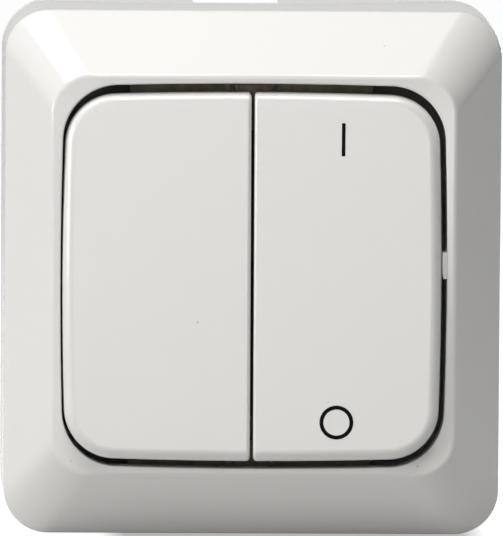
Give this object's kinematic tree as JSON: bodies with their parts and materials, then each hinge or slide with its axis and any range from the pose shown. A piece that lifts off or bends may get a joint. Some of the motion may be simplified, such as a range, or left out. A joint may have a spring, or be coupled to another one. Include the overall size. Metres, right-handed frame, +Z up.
{
  "type": "surface mount switch",
  "caption": "Square-fronted surface mount wall switch with sloped cover and wide rockers side by side, on a wall base with cable knock-outs.",
  "frame": {"origin": "centre of the base's back face, on the wall", "axes": "+Z up the wall, +X to the right as seen from the room, +Y into the wall, so the rockers face -Y"},
  "size_m": [0.08, 0.0408, 0.0844],
  "materials": {
    "cover_white": "glossy warm white moulding",
    "base_white": "warm white moulding, a little duller than the cover",
    "rocker_white": "glossy warm white moulding",
    "housing_grey": "matt grey moulding",
    "frame_grey": "matt pale grey moulding",
    "actuator_white": "satin off-white moulding",
    "plunger_black": "satin black moulding",
    "plate_zinc": "dull passivated zinc on pressed steel",
    "spring_steel": "drawn wire",
    "screw_steel": "bright zinc plate",
    "terminal_brass": "stamped",
    "blade_brass": "stamped",
    "contact_silver": "silver contact face"
  },
  "bodies": {
    "enclosure": {"front_cover": "cover_white", "wall_base": "base_white", "switch_housing": "housing_grey", "bearing_frame": "frame_grey", "mounting_plate": "plate_zinc", "terminal_screws": "screw_steel", "plate_screws": "screw_steel", "terminal_clamps": "screw_steel", "left_common_terminal": "terminal_brass", "left_upper_terminal": "terminal_brass", "left_lower_terminal": "terminal_brass", "line_common_terminal": "terminal_brass", "line_fixed_terminal": "terminal_brass", "neutral_common_terminal": "terminal_brass", "neutral_fixed_terminal": "terminal_brass", "fixed_contacts": "contact_silver"},
    "left_rocker": {"left_rocker": "rocker_white", "left_actuator": "actuator_white", "left_plunger_spring": "spring_steel"},
    "right_rocker": {"right_rocker": "rocker_white", "right_actuator": "actuator_white", "line_plunger_spring": "spring_steel", "neutral_plunger_spring": "spring_steel"},
    "left_plunger": {"left_plunger": "plunger_black"},
    "line_plunger": {"line_plunger": "plunger_black"},
    "neutral_plunger": {"neutral_plunger": "plunger_black"},
    "left_blade": {"left_contact_blade": "blade_brass", "left_moving_contacts": "contact_silver"},
    "right_blades": {"line_contact_blade": "blade_brass", "neutral_contact_blade": "blade_brass", "line_moving_contacts": "contact_silver", "neutral_moving_contacts": "contact_silver"}
  },
  "joints": [
    {"name": "left_rocker_tilt", "type": "hinge", "parent": "enclosure", "child": "left_rocker", "pos_m": [-0.01538, -0.033, -0.00026], "axis": [1, 0, 0], "range_deg": [0, 6]},
    {"name": "right_rocker_tilt", "type": "hinge", "parent": "enclosure", "child": "right_rocker", "pos_m": [0.01484, -0.033, -0.00026], "axis": [1, 0, 0], "range_deg": [0, 6]},
    {"name": "left_blade_tilt", "type": "hinge", "parent": "enclosure", "child": "left_blade", "pos_m": [-0.01427, -0.0165, -0.00026], "axis": [1, 0, 0], "range_deg": [-16, 0]},
    {"name": "right_blade_tilt", "type": "hinge", "parent": "enclosure", "child": "right_blades", "pos_m": [0.01373, -0.0165, -0.00026], "axis": [1, 0, 0], "range_deg": [-16, 0]},
    {"name": "left_plunger_slide", "type": "slide", "parent": "left_rocker", "child": "left_plunger", "axis": [0, -0.9986, 0.0523], "range_m": [0, 0.001], "stiffness_N_per_m": 800, "deforming": ["left_plunger_spring"]},
    {"name": "line_plunger_slide", "type": "slide", "parent": "right_rocker", "child": "line_plunger", "axis": [0, -0.9986, 0.0523], "range_m": [0, 0.001], "stiffness_N_per_m": 800, "deforming": ["line_plunger_spring"]},
    {"name": "neutral_plunger_slide", "type": "slide", "parent": "right_rocker", "child": "neutral_plunger", "axis": [0, -0.9986, 0.0523], "range_m": [0, 0.001], "stiffness_N_per_m": 800, "deforming": ["neutral_plunger_spring"]}
  ],
  "couplings": [
    {"joint": "left_blade_tilt", "follows": "left_rocker_tilt", "ratio": -2.6667},
    {"joint": "right_blade_tilt", "follows": "right_rocker_tilt", "ratio": -2.6667}
  ]
}
